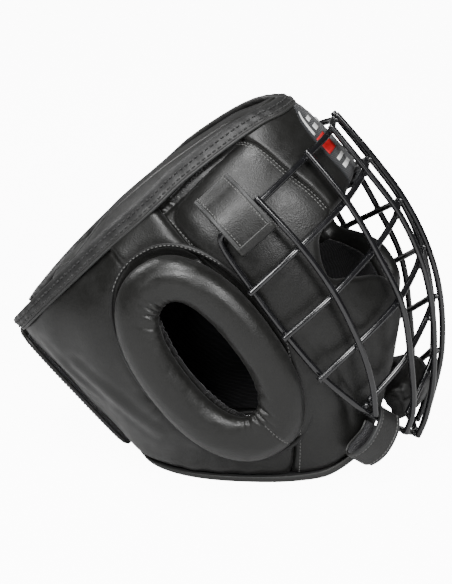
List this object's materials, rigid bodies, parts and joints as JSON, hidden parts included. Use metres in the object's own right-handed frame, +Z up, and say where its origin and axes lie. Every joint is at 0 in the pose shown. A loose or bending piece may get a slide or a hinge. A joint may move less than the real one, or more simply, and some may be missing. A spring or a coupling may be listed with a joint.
{
  "type": "boxing headgear",
  "caption": "Padded boxing headgear with ear pads, a closed crown, a rear closure flap and a wire face cage held by straps.",
  "frame": {"origin": "centre of the bounding box at the table the headgear stands on", "axes": "+Z up from the table, with the head leaning back 32 degrees; -Y the way the face looks; +X to the wearer's left"},
  "size_m": [0.2114, 0.328, 0.278],
  "materials": {
    "leather": "satin",
    "foam": "matte",
    "fabric": "matte",
    "hook_and_loop": "matte",
    "wire": "gloss",
    "webbing": "matte"
  },
  "bodies": {
    "shell": {"brow_band": "webbing", "cage_hoop_brow": "wire", "cage_hoop_chin": "wire", "cage_hoop_eye": "wire", "cage_hoop_mouth": "wire", "cage_hoop_nose": "wire", "cage_rim": "wire", "cage_upright_centre": "wire", "cage_upright_inner_left": "wire", "cage_upright_inner_right": "wire", "cage_upright_middle_left": "wire", "cage_upright_middle_right": "wire", "cage_upright_outer_left": "wire", "cage_upright_outer_right": "wire", "cheek_left_cover": "leather", "cheek_left_foam": "foam", "cheek_left_lining": "fabric", "cheek_right_cover": "leather", "cheek_right_foam": "foam", "cheek_right_lining": "fabric", "chin_cover": "leather", "chin_foam": "foam", "closure_flap_base": "leather", "closure_loop_patch": "hook_and_loop", "crown_cover": "leather", "crown_foam": "foam", "ear_pad_left": "leather", "ear_pad_right": "leather", "forehead_cover": "leather", "forehead_foam": "foam", "forehead_lining": "fabric", "jaw_binding_left": "leather", "jaw_binding_right": "leather", "lower_strap_left_loop": "leather", "lower_strap_right_loop": "leather", "side_left_cover": "leather", "side_left_foam": "foam", "side_left_lining": "fabric", "side_right_cover": "leather", "side_right_foam": "foam", "side_right_lining": "fabric", "temple_left_cover": "leather", "temple_left_foam": "foam", "temple_right_cover": "leather", "temple_right_foam": "foam", "top_binding_left": "leather", "top_binding_right": "leather", "upper_strap_left_loop": "leather", "upper_strap_right_loop": "leather"},
    "upper_strap_right": {"upper_strap_right_flap": "leather", "upper_strap_right_hook_pad": "hook_and_loop"},
    "upper_strap_left": {"upper_strap_left_flap": "leather", "upper_strap_left_hook_pad": "hook_and_loop"},
    "lower_strap_right": {"lower_strap_right_flap": "leather", "lower_strap_right_hook_pad": "hook_and_loop"},
    "lower_strap_left": {"lower_strap_left_flap": "leather", "lower_strap_left_hook_pad": "hook_and_loop"},
    "closure_flap": {"closure_flap": "leather", "closure_hook_patch": "hook_and_loop"}
  },
  "joints": [
    {"name": "upper_strap_right_opening", "type": "hinge", "parent": "shell", "child": "upper_strap_right", "pos_m": [-0.09508, -0.03243, 0.20219], "axis": [0.3011, -0.7462, 0.5937], "range_deg": [0, 100]},
    {"name": "upper_strap_left_opening", "type": "hinge", "parent": "shell", "child": "upper_strap_left", "pos_m": [0.09508, -0.03243, 0.20219], "axis": [0.3011, 0.7462, -0.5937], "range_deg": [0, 100]},
    {"name": "lower_strap_right_opening", "type": "hinge", "parent": "shell", "child": "lower_strap_right", "pos_m": [-0.06963, -0.10175, 0.01985], "axis": [0.5492, -0.5531, -0.6265], "range_deg": [0, 100]},
    {"name": "lower_strap_left_opening", "type": "hinge", "parent": "shell", "child": "lower_strap_left", "pos_m": [0.06963, -0.10175, 0.01985], "axis": [0.5492, 0.5531, 0.6265], "range_deg": [0, 100]},
    {"name": "closure_flap_opening", "type": "hinge", "parent": "shell", "child": "closure_flap", "pos_m": [0.02609, 0.12049, 0.05725], "axis": [0.012, -0.6279, -0.7782], "range_deg": [0, 110]}
  ]
}
